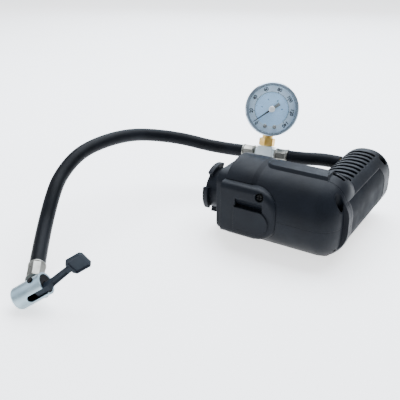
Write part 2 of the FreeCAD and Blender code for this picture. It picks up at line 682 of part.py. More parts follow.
head_screw_parts = []
for i, (x, y) in enumerate(HEAD_SCREWS):
    body = new_body(f"HeadScrew{i}")
    turn(body, f"HeadScrew{i}Turn", [
        ("0", "cylinderEnd - 3.4"), ("screwShank", "cylinderEnd - 3.4"), ("screwShank", "headEnd"),
        ("2.8", "headEnd"), ("2.8", "headEnd + 1.8"), ("0", "headEnd + 1.8")])
    pocket(body, f"HeadScrew{i}Slot", "XY", "0.8", [
        ("-3", "-0.4"), ("3", "-0.4"), ("3", "0.4"), ("-3", "0.4")], height="headEnd + 1.8")
    body.Placement = at(x, y)
    head_screw_parts.append(body)
head_screws = boolean("MultiFuse", "HeadScrews", *head_screw_parts)

# Outlet valve: a disc held down on its seat by a light spring under a screwed cap
valve_disc = drum("ValveDisc", "0", "hoseExitY", "44", "3.1", "1")
valve_spring = boolean("Cut", "ValveSpring", drum("SpringOuter", "0", "hoseExitY", "45", "2.7", "7.4"),
                       drum("SpringInner", "0", "hoseExitY", "44", "2", "9"))
valve_cap = boolean("MultiFuse", "ValveCap", drum("CapPlug", "0", "hoseExitY", "52.4", "3.4", "3.1"),
                    drum("CapHead", "0", "hoseExitY", "axisHeight + headTop", "4.6", "2.2"))

# Piston with its ring and wrist pin; the crown stops just short of the gasket
piston = new_body("Piston")
turn(piston, "PistonTurn", [
    ("0", "9.6"), ("8.6", "9.6"), ("8.6", "0"), ("boreRadius - 0.1", "0"), ("boreRadius - 0.1", "7.4"),
    ("boreRadius - 0.8", "7.4"), ("boreRadius - 0.8", "8.4"), ("boreRadius - 0.1", "8.4"),
    ("boreRadius - 0.1", "10.3"), ("0", "10.3")])
pocket(piston, "WristBore", "YZ", circles=[("0", "5", "pinRadius")])
piston_ring = new_body("PistonRing")
turn(piston_ring, "PistonRingTurn", [
    ("boreRadius - 0.7", "7.5"), ("boreRadius - 0.05", "7.5"), ("boreRadius - 0.05", "8.3"),
    ("boreRadius - 0.7", "8.3")])
wrist_pin = drum("WristPin", "-10", "0", "0", "pinRadius", "20", "X")

# Connecting rod, lying along Y with the wrist end at its origin
con_rod = new_body("ConRod")
pad(con_rod, "RodShank", "YZ", "6", [
    ("-rodLength", "-3"), ("0", "-2.2"), ("0", "2.2"), ("-rodLength", "3")], height="-3")
pad(con_rod, "RodBigEnd", "YZ", "6", circles=[("-rodLength", "0", "5")], height="-3")
pad(con_rod, "RodSmallEnd", "YZ", "6", circles=[("0", "0", "3.5")], height="-3")
pocket(con_rod, "RodBigBore", "YZ", circles=[("-rodLength", "0", "2.5")])
pocket(con_rod, "RodSmallBore", "YZ", circles=[("0", "0", "pinRadius + 0.04")])
crank_pin = drum("CrankPin", "-3.1", "0", "0", "2.5", "7.1", "X")

# Outlet fitting, and the rubber grommet that fills the gap between the hose and the cover
fitting_turn = new_body("OutletFittingTurn")
turn(fitting_turn, "FittingTurn", [
    ("-headWidth - 4", "1.8"), ("-headWidth - 12", "1.8"), ("-headWidth - 12", "2.6"),
    ("-headWidth - 10", "hoseBore"), ("-headWidth - 4", "hoseBore"), ("-headWidth - 4", "4"),
    ("-headWidth", "4"), ("-headWidth", "1.8")], "X")
grommet_ring = boolean("Cut", "GrommetRing",
                       drum("GrommetOuter", "-26", "hoseExitY", "hoseExitZ", "hoseRadius + 1.5", "18", "X"),
                       drum("GrommetBore", "-28", "hoseExitY", "hoseExitZ", "hoseRadius", "24", "X"))
grommet = boolean("MultiCommon", "Grommet", grommet_ring, boolean("Cut", "ShroudWall", outer_shroud, inner_shroud))
doc.recompute()

# Tee with the gauge: it lies beside the motor barrel, its stem leaning back
lean = Rotation(Vector(0, 1, 0), -2).multiply(Rotation(Vector(1, 0, 0), -18))
TEE = Placement(Vector(-89.7, 69.4, 46.7), Rotation(Vector(0, 0, 1), 6).multiply(lean))
GAUGE = TEE.multiply(Placement(Vector(0, 0, value("gaugeRise")),
                               Rotation(Vector(0, 0, 1), 24).multiply(Rotation(Vector(1, 0, 0), 90))))
GAUGE = GAUGE.multiply(Placement(Vector(0, 0, 9), Rotation()))

tee_box = block("TeeBox", "-7.4", "-5.25", "-7", "14.8", "10.5", "14")
tee_neck = drum("TeeNeck", "-9.25", "0", "0", "5", "18.5", "X")
tee_top = drum("TeeTop", "0", "0", "6", "5.2", "1.6")
tee_bores = boolean("MultiFuse", "TeeBores", drum("TeeBore", "-12", "0", "0", "hoseBore", "24", "X"),
                    drum("TeeStemBore", "0", "0", "0", "2.5", "10"))
tee_block = boolean("Cut", "TeeBlock", boolean("MultiFuse", "TeeWhole", tee_box, tee_neck, tee_top), tee_bores)


def ferrule(name, length):
    """Ferrule from a shoulder at zero to the hose's face, pressed to eight flats between two plain rims."""
    body = new_body(name)
    r = "(hoseRadius + 0.75)"
    turn(body, name + "Turn", [
        ("hoseBore", "0"), ("5", "0"), ("5", "1"), (r, "1.6"), (r, f"{length} - 0.5"), (f"{r} - 0.5", length),
        ("hoseBore", length)])
    # One flat is cut as a thin segment outside a chord, then repeated round the axis
    flat = pocket(body, name + "Flat", "YZ", "20", [
        (f"{r} - 0.55", "3"), (f"{r} - 0.05", "2.4"), (f"{r} + 2", "2.4"), (f"{r} + 2", f"{length} - 1.4"),
        (f"{r} - 0.05", f"{length} - 1.4"), (f"{r} - 0.55", f"{length} - 2")], both=True)
    polar(body, name + "Flats", flat, 8)
    return body


tee_ferrule_parts = []
for i, angle in enumerate((90, -90)):
    body = ferrule(f"TeeFerrule{i}", "ferruleLength")
    turned = Rotation(Vector(0, 1, 0), angle)
    body.Placement = Placement(turned.multVec(Vector(0, 0, 9.25)), turned)
    tee_ferrule_parts.append(body)
tee_ferrules = boolean("MultiFuse", "TeeFerrules", *tee_ferrule_parts)

# Hexagonal socket, a corner to the front and both ends bevelled
gauge_socket = new_body("GaugeSocket")
pad(gauge_socket, "SocketHex", "XY", "7.4", [
    (f"7.62 * cos({60 * i - 90})", f"7.62 * sin({60 * i - 90})") for i in range(6)], height="7.6")
turn(gauge_socket, "SocketBevelLow", [("6.5", "7.6"), ("9", "7.6"), ("9", "9.04")], cut=True)
turn(gauge_socket, "SocketBevelHigh", [("6.5", "15"), ("9", "13.56"), ("9", "15")], cut=True)
pad(gauge_socket, "SocketStem", "XY", "5.6", circles=[("0", "0", "5")], height="14.6")
pocket(gauge_socket, "SocketBore", "XY", circles=[("0", "0", "1.6")])

gauge_case = new_body("GaugeCase")
turn(gauge_case, "GaugeCaseTurn", [
    ("0", "-20"), ("gaugeRadius - 1.5", "-20"), ("gaugeRadius", "-18.5"), ("gaugeRadius", "0"),
    ("gaugeRadius - 1.2", "0"), ("gaugeRadius - 1.2", "-18.8"), ("0", "-18.8")])
stem_passage = drum("StemPassage", "0", "-30", "-9", "5.05", "10", "Y")
gauge_shell = boolean("Cut", "GaugeShell", gauge_case, stem_passage)

gauge_bezel = new_body("GaugeBezel")
turn(gauge_bezel, "GaugeBezelTurn", [
    ("gaugeRadius", "-4"), ("gaugeRadius + 0.6", "-4"), ("gaugeRadius + 0.9", "-3.4"), ("gaugeRadius + 0.9", "2.2"),
    ("gaugeRadius", "3.4"), ("gaugeRadius - 1.9", "3.4"), ("gaugeRadius - 2.3", "2.4"), ("gaugeRadius - 1.2", "2.4"),
    ("gaugeRadius - 1.2", "0"), ("gaugeRadius", "0")])

gauge_lens = drum("GaugeLens", "0", "0", "1.2", "gaugeRadius - 1.2", "1.2")

gauge_dial = new_body("GaugeDial")
pad(gauge_dial, "GaugeDialPad", "XY", "0.6", circles=[("0", "0", "gaugeRadius - 1.25"), ("0", "0", "1.3")],
    height="-2.5")

gauge_needle = new_body("GaugeNeedle")
pad(gauge_needle, "NeedleBlade", "XY", "0.4", [
    ("-8.6", "-1.6"), ("-2", "-1.2"), ("0", "-0.9"), ("20.5", "-0.25"), ("20.5", "0.25"), ("0", "0.9"),
    ("-2", "1.2"), ("-8.6", "1.6")], height="-0.6")
pad(gauge_needle, "NeedleEye", "XY", "0.4", circles=[("0", "0", "2.2")], height="-0.6")
pocket(gauge_needle, "NeedleBore", "XY", circles=[("0", "0", "0.9")])
needle_hub = new_body("NeedleHub")
turn(needle_hub, "NeedleHubTurn", [
    ("0", "-6"), ("0.9", "-6"), ("0.9", "-0.2"), ("3", "-0.2"), ("3", "0.4"), ("2.2", "0.9"), ("0", "0.9")])

dial_screw_parts = []
for i, x in enumerate(("-4.45", "4.45")):
    body = new_body(f"DialScrew{i}")
    turn(body, f"DialScrew{i}Turn", [("0", "-1.9"), ("1.9", "-1.9"), ("1.9", "-1.4"), ("1.2", "-1"), ("0", "-1")])
    pocket(body, f"DialScrew{i}Slot", "XY", "0.4", [
        ("-2", "-0.2"), ("2", "-0.2"), ("2", "0.2"), ("-2", "0.2")], height="-1")
    body.Placement = at(x, "-16.1")
    dial_screw_parts.append(body)
dial_screws = boolean("MultiFuse", "DialScrews", *dial_screw_parts)
# The needle rests just short of this pin, which is riveted into the dial
stop_pin = drum("StopPin", "15.7 * cos(224)", "15.7 * sin(224)", "-2.5", "0.6", "2.3")
dial_with_stop = boolean("MultiFuse", "DialWithStop", gauge_dial, stop_pin)

# Pressure element: a curved tube on a stem block behind the dial
bourdon = doc.addObject("Part::Torus", "Bourdon")
bourdon.Radius1 = 15
bourdon.Radius2 = 1.8
bourdon.Angle3 = 250
bourdon.Placement = Placement(Vector(0, 0, -9), Rotation(Vector(0, 0, 1), -90))
gauge_movement = boolean("MultiFuse", "GaugeMovement", bourdon, block("StemBlock", "-5", "-20.8", "-13", "10", "7.6", "8"),
                         boolean("Cut", "Movement", drum("MovementPlate", "0", "0", "-13", "7", "6"),
                                 drum("MovementBore", "0", "0", "-14", "1.1", "12")),
                         block("MovementArm", "-2", "-15", "-12", "4", "9", "3"))

# Chuck at the hose's end: x runs from its mouth, z to the lever's side
MOUTH = Vector(-155.13, -187.91, 6.81)
chuck_x = Vector(0.7266, 0.4334, 0.5332).normalize()
toward = Vector(0.601, -0.776, -0.190)
chuck_z = (toward - chuck_x * toward.dot(chuck_x)).normalize()
chuck_y = chuck_z.cross(chuck_x)
CHUCK = Placement(MOUTH, Rotation(chuck_x, chuck_y, chuck_z, "XZY"))

chuck_tube = new_body("ChuckTube")
turn(chuck_tube, "ChuckTubeTurn", [
    ("0", "stemBore"), ("0", "chuckRadius - 1.6"), ("0.5", "chuckRadius - 0.5"), ("1.6", "chuckRadius"),
    ("chuckLength", "chuckRadius"), ("chuckLength", "chuckRadius - 1.35"), ("1.5", "chuckRadius - 1.35"),
    ("1.5", "stemBore")], "X")
chuck_cuts = boolean(
    "MultiFuse", "ChuckCuts",
    boolean("MultiFuse", "ChuckSlot", block("SlotBlock", "14", "-3", "2", "20", "6", "10"),
            drum("SlotEnd", "14", "0", "2", "3", "10")),
    drum("ChuckInlet", "13.9", "0", "-12", "hoseBore", "8"),
    drum("ChuckPinHole", "chuckPin", "-12", "0", "pinRadius", "24", "Y"))
chuck_body = boolean("Cut", "ChuckBody", chuck_tube, chuck_cuts)

chuck_seal = new_body("ChuckSeal")
turn(chuck_seal, "ChuckSealTurn", [
    ("1.5", "stemBore"), ("1.5", "chuckRadius - 1.35"), ("7.5", "chuckRadius - 1.35"), ("7.5", "stemBore")], "X")

plunger = new_body("Plunger")
turn(plunger, "PlungerTurn", [
    ("7.9", "0"), ("7.9", "2"), ("8.4", "2.5"), ("11.2", "2.5"), ("11.2", "0")], "X")

core_disc = new_body("CoreDisc")
turn(core_disc, "CoreDiscTurn", [
    ("8.4", "2.55"), ("8.4", "chuckRadius - 1.4"), ("11", "chuckRadius - 1.4"), ("11", "2.55")], "X")
core_arm = boolean("MultiCommon", "CoreArm", block("CoreArmBlock", "10.4", "-3.6", "-7.4", "6.2", "7.2", "2.6"),
                   drum("CoreArmBound", "5", "0", "0", "chuckRadius - 1.4", "20", "X"))
chuck_core = boolean("Cut", "ChuckCore", boolean("MultiFuse", "CoreWhole", core_disc, core_arm),
                     drum("CoreInlet", "13.9", "0", "-12", "1.4", "8"))

lever = new_body("Lever")
pad(lever, "LeverHub", "XZ", "4.4", circles=[("chuckPin", "0", "4.2")], both=True)
pad(lever, "LeverNeck", "XZ", "4.4", [
    ("18.1", "1"), ("22.5", "0.4"), ("28", "1.6"), ("48.6", "-3.6"), ("48.6", "-1"), ("34", "4"), ("29", "6.4"),
    ("18.1", "6.4")], both=True)
pad(lever, "LeverPaddle", "XY", "3", [
    ("46", "-4"), ("48", "-6.6"), ("59.4", "-6.6"), ("61", "-5"), ("61", "5"), ("59.4", "6.6"),
    ("48", "6.6"), ("46", "4")], height="-3.8")
pocket(lever, "LeverBore", "XZ", circles=[("chuckPin", "0", "pinRadius + 0.05")])
pocket(lever, "PaddleDish", "XY", "0.8", rounded("48.4", "59.8", "-5.4", "5.4", "0.8"), height="-0.8")
pocket(lever, "NeckGroove", "XZ", "2", [
    ("32", "4.2"), ("44", "-0.2"), ("44", "3"), ("32", "7")], both=True)

lever_pin = new_body("LeverPin")
pad(lever_pin, "PinShank", "XZ", "2 * chuckRadius", circles=[("chuckPin", "0", "pinRadius")], both=True)
pad(lever_pin, "PinHeadA", "XZ", "1", circles=[("chuckPin", "0", "2.2")], height="chuckRadius")
pad(lever_pin, "PinHeadB", "XZ", "1", circles=[("chuckPin", "0", "2.2")], height="-chuckRadius", back=True)

plug_turn = new_body("PlugTurn")
turn(plug_turn, "PlugTurnForm", [
    ("23.4", "0"), ("23.4", "chuckRadius - 1.4"), ("chuckLength", "chuckRadius - 1.4"), ("chuckLength", "0")], "X")
end_plug = boolean("Cut", "EndPlug", plug_turn, block("PlugSlot", "20", "-2.8", "0", "20", "5.6", "12"))

chuck_ferrule = ferrule("ChuckFerrule", "17.75")
chuck_ferrule.Placement = Placement(Vector(13.9, 0, -value("chuckRadius")), Rotation(Vector(1, 0, 0), 180))


# Hose routes: straight runs joined by tangent arcs, given by the points where the runs meet

def run_of(points):
    """Edges of the route; every arc is as large as its two runs allow."""
    edges = []
    radii = []
    last = points[0]
    length = 0
    for i in range(1, len(points) - 1):
        before, here, after = points[i - 1], points[i], points[i + 1]
        a = (before - here)
        b = (after - here)
        turn_angle = math.pi - a.getAngle(b)
        reach = 0.45 * min(a.Length, b.Length)
        radius = reach / math.tan(turn_angle / 2)
        a.normalize()
        b.normalize()
        start, end = here + a * reach, here + b * reach
        bisector = (a + b).normalize()
        crown = here + bisector * (radius / math.cos(turn_angle / 2) - radius)
        edges.append(Part.LineSegment(last, start).toShape())
        edges.append(Part.Arc(start, crown, end).toShape())
        length += (start - last).Length + radius * turn_angle
        radii.append(round(radius, 1))
        last = end
    edges.append(Part.LineSegment(last, points[-1]).toShape())
    length += (points[-1] - last).Length
    return edges, radii, length


def hose(name, points):
    edges, radii, length = run_of(points)
    path = Part.Wire(edges)
    direction = (points[1] - points[0]).normalize()
    outer = Part.Wire(Part.Circle(points[0], direction, value("hoseRadius")).toShape())
    inner = Part.Wire(Part.Circle(points[0], direction, value("hoseBore")).toShape())
    tube = path.makePipeShell([outer], True, False).cut(path.makePipeShell([inner], True, False))
    section = math.pi * (value("hoseRadius") ** 2 - value("hoseBore") ** 2)
    print(name, "length", round(length, 1), "radii", radii, "volume", round(tube.Volume),
          "section x length", round(section * length))
    feature = doc.addObject("Part::Feature", name)
    feature.Shape = tube
    return feature


EXIT = Vector(-value("headWidth") - 4, value("hoseExitY"), value("hoseExitZ"))
tee_reach = 9.25 + value("ferruleLength")
tee_right = TEE.multVec(Vector(tee_reach, 0, 0))
tee_left = TEE.multVec(Vector(-tee_reach, 0, 0))
tee_axis = TEE.Rotation.multVec(Vector(1, 0, 0))
short_route = [EXIT, Vector(-34, 76, 50.3), tee_right + tee_axis * 15, tee_right]
chuck_end = CHUCK.multVec(Vector(13.9, 0, -value("chuckRadius") - 17.75))
chuck_down = CHUCK.Rotation.multVec(Vector(0, 0, 1))
long_route = [tee_left, tee_left - tee_axis * 31, Vector(-170.5, 49, 53), Vector(-192, 23, 61),
              Vector(-199, -4.5, 67), Vector(-204.5, -35.5, 68), Vector(-206, -62.5, 65.5), Vector(-204, -86.5, 55.5),
              Vector(-196.5, -104.5, 47.5), chuck_end - chuck_down * 37, chuck_end]
hose_short = hose("HoseShort", short_route)
hose_long = hose("HoseLong", long_route)
print("short route", [[round(c, 2) for c in p + SHIFT] for p in short_route])
print("long route", [[round(c, 2) for c in p + SHIFT] for p in long_route])

# Sub-parts by name, each placed in the part's frame
doc.recompute()
MOTOR = at(z="axisHeight")
CRANK = at(y="gearDistance", z="axisHeight")
CYLINDER = at(z="axisHeight", rotation=ALONG_Y)
WRIST = at(y="gearDistance - crankThrow + rodLength", z="axisHeight")
OUTLET = at(y="hoseExitY", z="hoseExitZ")
finish("housing_upper", housing_upper)
finish("housing_lower", housing_lower)
finish("side_cover", side_cover)
finish("bayonet_foot", coupling, MOTOR)
finish("contact_block", contact_block, MOTOR)
finish("contact_blades", blades, MOTOR)
finish("shroud_upper", shroud_upper)
finish("shroud_lower", shroud_lower)
finish("label_plate", label_plate)
finish("case_screws", screws)
finish("rubber_feet", feet)
finish("motor_can", motor_can, MOTOR)
finish("motor_cap", motor_cap, MOTOR)
finish("rotor_shaft", rotor_shaft, MOTOR)
finish("rotor_core", rotor_core, MOTOR)
finish("rotor_windings", rotor_windings, MOTOR)
finish("motor_magnets", magnets, MOTOR)
finish("commutator", commutator, MOTOR)
finish("motor_brushes", brushes, MOTOR)
finish("drive_bushings", drive_bushings, MOTOR)
finish("cooling_fan", fan, MOTOR)
finish("pinion", pinion, MOTOR)
finish("crank_gear", crank_gear, CRANK)
finish("crank_shaft", crank_shaft, CRANK)
finish("gear_frame", gear_frame, MOTOR)
finish("crank_pin", crank_pin, at(y="gearDistance - crankThrow", z="axisHeight"))
finish("con_rod", con_rod, WRIST)
finish("wrist_pin", wrist_pin, WRIST)
finish("piston", piston, at(y="gearDistance - crankThrow + rodLength - 5", z="axisHeight", rotation=ALONG_Y))
finish("piston_ring", piston_ring, at(y="gearDistance - crankThrow + rodLength - 5", z="axisHeight", rotation=ALONG_Y))
finish("cylinder", cylinder, CYLINDER)
finish("head_gasket", gasket, CYLINDER)
finish("cylinder_head", cylinder_head)
finish("head_screws", head_screws, CYLINDER)
finish("valve_disc", valve_disc)
finish("valve_spring", valve_spring)
finish("valve_cap", valve_cap)
finish("outlet_fitting", fitting_turn, OUTLET)
finish("hose_grommet", grommet)
finish("hose_short", hose_short)
finish("tee_block", tee_block, TEE)
finish("tee_ferrules", tee_ferrules, TEE)
finish("gauge_socket", gauge_socket, TEE)
finish("gauge_case", gauge_shell, GAUGE)
finish("gauge_bezel", gauge_bezel, GAUGE)
finish("gauge_lens", gauge_lens, GAUGE)
finish("gauge_dial", dial_with_stop, GAUGE)
finish("gauge_needle", gauge_needle, GAUGE.multiply(Placement(Vector(), Rotation(Vector(0, 0, 1), 220))))
finish("needle_hub", needle_hub, GAUGE)
finish("dial_screws", dial_screws, GAUGE)
finish("gauge_movement", gauge_movement, GAUGE)
finish("hose_long", hose_long)
finish("chuck_ferrule", chuck_ferrule, CHUCK)
finish("chuck_body", chuck_body, CHUCK)
finish("chuck_seal", chuck_seal, CHUCK)
finish("chuck_plunger", plunger, CHUCK)
finish("chuck_core", chuck_core, CHUCK)
finish("chuck_lever", lever, CHUCK)
finish("lever_pin", lever_pin, CHUCK)
finish("end_plug", end_plug, CHUCK)
doc.recompute()

# Nothing is written unless every object is sound
for obj in doc.Objects:
    if "Invalid" in obj.State or "Error" in obj.State:
        raise RuntimeError("failed object: " + obj.Name)
for node, obj in PIECES:
    if obj.Shape.isNull() or not obj.Shape.isValid():
        raise RuntimeError("bad shape: " + node)

os.makedirs("parts", exist_ok=True)
for node, obj in PIECES:
    obj.Shape.exportStep(os.path.join("parts", node + ".step"))
print("wrote", len(PIECES), "sub-parts")
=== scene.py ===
from math import radians, sin, cos, pi
import bmesh
import bpy
from mathutils import Matrix, Vector


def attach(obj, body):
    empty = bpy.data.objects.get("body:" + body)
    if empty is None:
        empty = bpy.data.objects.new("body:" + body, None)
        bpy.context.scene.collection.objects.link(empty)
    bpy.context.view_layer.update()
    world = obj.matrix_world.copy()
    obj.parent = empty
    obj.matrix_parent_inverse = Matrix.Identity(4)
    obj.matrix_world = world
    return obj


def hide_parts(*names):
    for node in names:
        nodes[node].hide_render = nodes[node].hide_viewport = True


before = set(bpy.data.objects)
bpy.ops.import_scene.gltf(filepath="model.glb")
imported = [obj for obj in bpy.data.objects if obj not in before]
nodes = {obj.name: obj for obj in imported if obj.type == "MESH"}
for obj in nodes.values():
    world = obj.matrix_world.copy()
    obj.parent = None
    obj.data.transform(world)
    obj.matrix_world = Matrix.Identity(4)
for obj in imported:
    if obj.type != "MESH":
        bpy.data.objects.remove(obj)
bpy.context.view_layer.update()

mm = 0.001


def linear(hexColour):
    # sRGB hex to the linear values that the shaders take
    parts = [int(hexColour[i:i + 2], 16) / 255 for i in (1, 3, 5)]
    return tuple(p / 12.92 if p <= 0.04045 else ((p + 0.055) / 1.055) ** 2.4 for p in parts) + (1.0,)


def addNode(material, kind, settings=None, links=None):
    # one node: settings go to its inputs or to the node itself, links say what feeds its inputs
    node = material.node_tree.nodes.new(kind)
    for name, value in (settings or {}).items():
        if name in node.inputs:
            node.inputs[name].default_value = value
        else:
            setattr(node, name, value)
    for name, source in (links or {}).items():
        material.node_tree.links.new(source, node.inputs[name])
    return node


def newMaterial(name):
    material = bpy.data.materials.new(name)
    material.use_nodes = True
    material.node_tree.nodes.clear()
    return material


def paint(material, *names):
    for name in names:
        mesh = nodes[name].data
        mesh.materials.clear()
        mesh.materials.append(material)


# camera: front right of the elbow, looking down 25 degrees along the motor barrel's shoulder
cameraView = {"place": (0.18435, -0.4543, 0.2539), "tilt": 64.63, "turn": 32.04, "lens": 54.37}
cameraData = bpy.data.cameras.new("camera")
cameraData.lens = cameraView["lens"]
cameraData.sensor_width = 36
cameraData.clip_start = 0.01
camera = bpy.data.objects.new("camera", cameraData)
camera.location = cameraView["place"]
camera.rotation_euler = (radians(cameraView["tilt"]), 0, radians(cameraView["turn"]))
bpy.context.scene.collection.objects.link(camera)
bpy.context.scene.camera = camera
print("camera set")

# air hose: two smooth lines, one from the cover to the tee and one from the tee to the chuck
hoseLook = {"diameter": 0.012, "longLength": 0.3051}
shortRoute = [(0.02255, 0.0435, 0.0503), (0.00655, 0.0435, 0.0503), (-0.01163, 0.04084, 0.04802),
              (-0.02654, 0.03928, 0.04749)]
longRoute = [(-0.07176, 0.03452, 0.04591), (-0.10257, 0.03129, 0.04482), (-0.12995, 0.0165, 0.0530),
             (-0.15145, -0.0095, 0.0610), (-0.15845, -0.0370, 0.0670), (-0.16395, -0.0680, 0.0680),
             (-0.16545, -0.0950, 0.0655), (-0.16345, -0.1190, 0.0555), (-0.15595, -0.1370, 0.0475),
             (-0.14255, -0.16532, 0.02621), (-0.12028, -0.19402, 0.0192)]


def hoseRubber(look):
    # extruded EPDM rubber: even black with a satin skin, fine lumps and a dusty bloom in broad clouds
    material = newMaterial("extrudedRubber")
    place = addNode(material, "ShaderNodeTexCoord").outputs["Object"]
    bloom = addNode(material, "ShaderNodeTexNoise", {"Scale": 1 / look["bloom"], "Detail": 4.0},
                    {"Vector": place})
    bloomRange = addNode(material, "ShaderNodeMapRange", {"From Min": 0.35, "From Max": 0.68},
                         {"Value": bloom.outputs["Fac"]})
    colour = addNode(material, "ShaderNodeMixRGB",
                     {"Color1": linear(look["deep"]), "Color2": linear(look["pale"])},
                     {"Fac": bloomRange.outputs["Result"]})
    lumps = addNode(material, "ShaderNodeTexNoise", {"Scale": 1 / look["lump"], "Detail": 3.0},
                    {"Vector": place})
    rough = addNode(material, "ShaderNodeMapRange",
                    {"From Min": 0.3, "From Max": 0.7, "To Min": look["smooth"], "To Max": look["dull"]},
                    {"Value": lumps.outputs["Fac"]})
    bump = addNode(material, "ShaderNodeBump", {"Strength": 0.5, "Distance": look["depth"]},
                   {"Height": lumps.outputs["Fac"]})
    shader = addNode(material, "ShaderNodeBsdfPrincipled",
                     {"IOR": 1.5, "Specular IOR Level": look["gloss"]},
                     {"Base Color": colour.outputs["Color"], "Roughness": rough.outputs["Result"],
                      "Normal": bump.outputs["Normal"]})
    addNode(material, "ShaderNodeOutputMaterial", links={"Surface": shader.outputs["BSDF"]})
    return material


# the lumps are drawn at 1.2 mm, coarser than the real grit, so that they show
hoseSkin = hoseRubber({"deep": "#07090c", "pale": "#0e1116", "bloom": 20 * mm, "lump": 1.2 * mm,
                       "depth": 0.06 * mm, "smooth": 0.4, "dull": 0.55, "gloss": 0.07})


def layHose(name, route):
    curve = bpy.data.curves.new(name, "CURVE")
    curve.dimensions = "3D"
    spline = curve.splines.new("NURBS")
    spline.points.add(len(route) - 1)
    for point, place in zip(spline.points, route):
        point.co = (*place, 1)
    spline.order_u = 3
    spline.use_endpoint_u = True
    spline.resolution_u = 14
    curve.bevel_depth = hoseLook["diameter"] / 2
    curve.bevel_resolution = 8
    curve.use_fill_caps = True
    curve.materials.append(hoseSkin)
    piece = bpy.data.objects.new(name, curve)
    bpy.context.scene.collection.objects.link(piece)
    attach(piece, "body")
    return piece


shortHose = layHose("shortHose", shortRoute)
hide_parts("hose_short")
longHose = layHose("longHose", longRoute)
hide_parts("hose_long")
print("hoses laid")


def mouldedPlastic(name, look):
    # moulded parts: tone clouds 30 mm across, gloss that wanders every 11 mm, an eroded grain drawn at 0.9 mm
    # because the real 0.1 mm is too fine to show, and edges rounded by the tool that catch the light
    material = newMaterial(name)
    place = addNode(material, "ShaderNodeTexCoord").outputs["Object"]
    cloud = addNode(material, "ShaderNodeTexNoise", {"Scale": 1 / (30 * mm), "Detail": 5.0},
                    {"Vector": place})
    tone = addNode(material, "ShaderNodeMapRange", {"From Min": 0.33, "From Max": 0.67},
                   {"Value": cloud.outputs["Fac"]})
    colour = addNode(material, "ShaderNodeMixRGB",
                     {"Color1": linear(look["deep"]), "Color2": linear(look["pale"])},
                     {"Fac": tone.outputs["Result"]})
    smear = addNode(material, "ShaderNodeTexNoise", {"Scale": 1 / (11 * mm), "Detail": 4.0},
                    {"Vector": place})
    rough = addNode(material, "ShaderNodeMapRange",
                    {"From Min": 0.3, "From Max": 0.7, "To Min": look["smooth"], "To Max": look["dull"]},
                    {"Value": smear.outputs["Fac"]})
    grain = addNode(material, "ShaderNodeTexNoise", {"Scale": 1 / look.get("grain", 0.9 * mm), "Detail": 2.0},
                    {"Vector": place})
    edge = addNode(material, "ShaderNodeBevel", {"samples": 6, "Radius": look.get("edge", 0.6 * mm)})
    bump = addNode(material, "ShaderNodeBump", {"Strength": 0.5, "Distance": look.get("depth", 0.04 * mm)},
                   {"Height": grain.outputs["Fac"], "Normal": edge.outputs["Normal"]})
    shader = addNode(material, "ShaderNodeBsdfPrincipled",
                     {"IOR": 1.5, "Specular IOR Level": look["gloss"]},
                     {"Base Color": colour.outputs["Color"], "Roughness": rough.outputs["Result"],
                      "Normal": bump.outputs["Normal"]})
    addNode(material, "ShaderNodeOutputMaterial", links={"Surface": shader.outputs["BSDF"]})
    return material


def workedMetal(name, look):
    # plating or bare metal: tone clouds, tool marks drawn out along the work, and edges a little broken
    material = newMaterial(name)
    place = addNode(material, "ShaderNodeTexCoord").outputs["Object"]
    cloud = addNode(material, "ShaderNodeTexNoise", {"Scale": 1 / look.get("cloud", 12 * mm), "Detail": 4.0},
                    {"Vector": place})
    tone = addNode(material, "ShaderNodeMapRange", {"From Min": 0.33, "From Max": 0.67},
                   {"Value": cloud.outputs["Fac"]})
    colour = addNode(material, "ShaderNodeMixRGB",
                     {"Color1": linear(look["deep"]), "Color2": linear(look["pale"])},
                     {"Fac": tone.outputs["Result"]})
    drawn = addNode(material, "ShaderNodeMapping", {"Scale": look.get("stretch", (1, 1, 1))},
                    {"Vector": place})
    marks = addNode(material, "ShaderNodeTexNoise", {"Scale": 1 / look.get("mark", 4 * mm), "Detail": 5.0},
                    {"Vector": drawn.outputs["Vector"]})
    rough = addNode(material, "ShaderNodeMapRange",
                    {"From Min": 0.3, "From Max": 0.7, "To Min": look["smooth"], "To Max": look["dull"]},
                    {"Value": marks.outputs["Fac"]})
    edge = addNode(material, "ShaderNodeBevel", {"samples": 6, "Radius": look.get("edge", 0.4 * mm)})
    bump = addNode(material, "ShaderNodeBump", {"Strength": 0.5, "Distance": look.get("depth", 0.02 * mm)},
                   {"Height": marks.outputs["Fac"], "Normal": edge.outputs["Normal"]})
    shader = addNode(material, "ShaderNodeBsdfPrincipled", {"Metallic": 1.0},
                     {"Base Color": colour.outputs["Color"], "Roughness": rough.outputs["Result"],
                      "Normal": bump.outputs["Normal"]})
    addNode(material, "ShaderNodeOutputMaterial", links={"Surface": shader.outputs["BSDF"]})
    return material


# ABS, moulded and spark-eroded: dark blue-grey and satin, with soft light along its edges
satinAbs = mouldedPlastic("satinAbs", {"deep": "#0b0e13", "pale": "#10141a", "smooth": 0.4, "dull": 0.52,
                                       "gloss": 0.1, "edge": 0.9 * mm})
paint(satinAbs, "housing_upper", "housing_lower", "shroud_upper", "shroud_lower", "side_cover",
      "bayonet_foot")
# polyester label film, bare: flat and a little duller than the case
labelFilm = mouldedPlastic("labelFilm", {"deep": "#0c0f14", "pale": "#11151b", "smooth": 0.55, "dull": 0.66,
                                         "gloss": 0.04, "grain": 2 * mm, "depth": 0.01 * mm})
paint(labelFilm, "label_plate")
# black nylon, moulded: matt, and swallows the light inside holes
blackNylon = mouldedPlastic("blackNylon", {"deep": "#050607", "pale": "#0a0b0d", "smooth": 0.45, "dull": 0.6,
                                           "gloss": 0.04})
paint(blackNylon, "contact_block", "end_plug", "motor_cap", "cooling_fan", "motor_brushes")
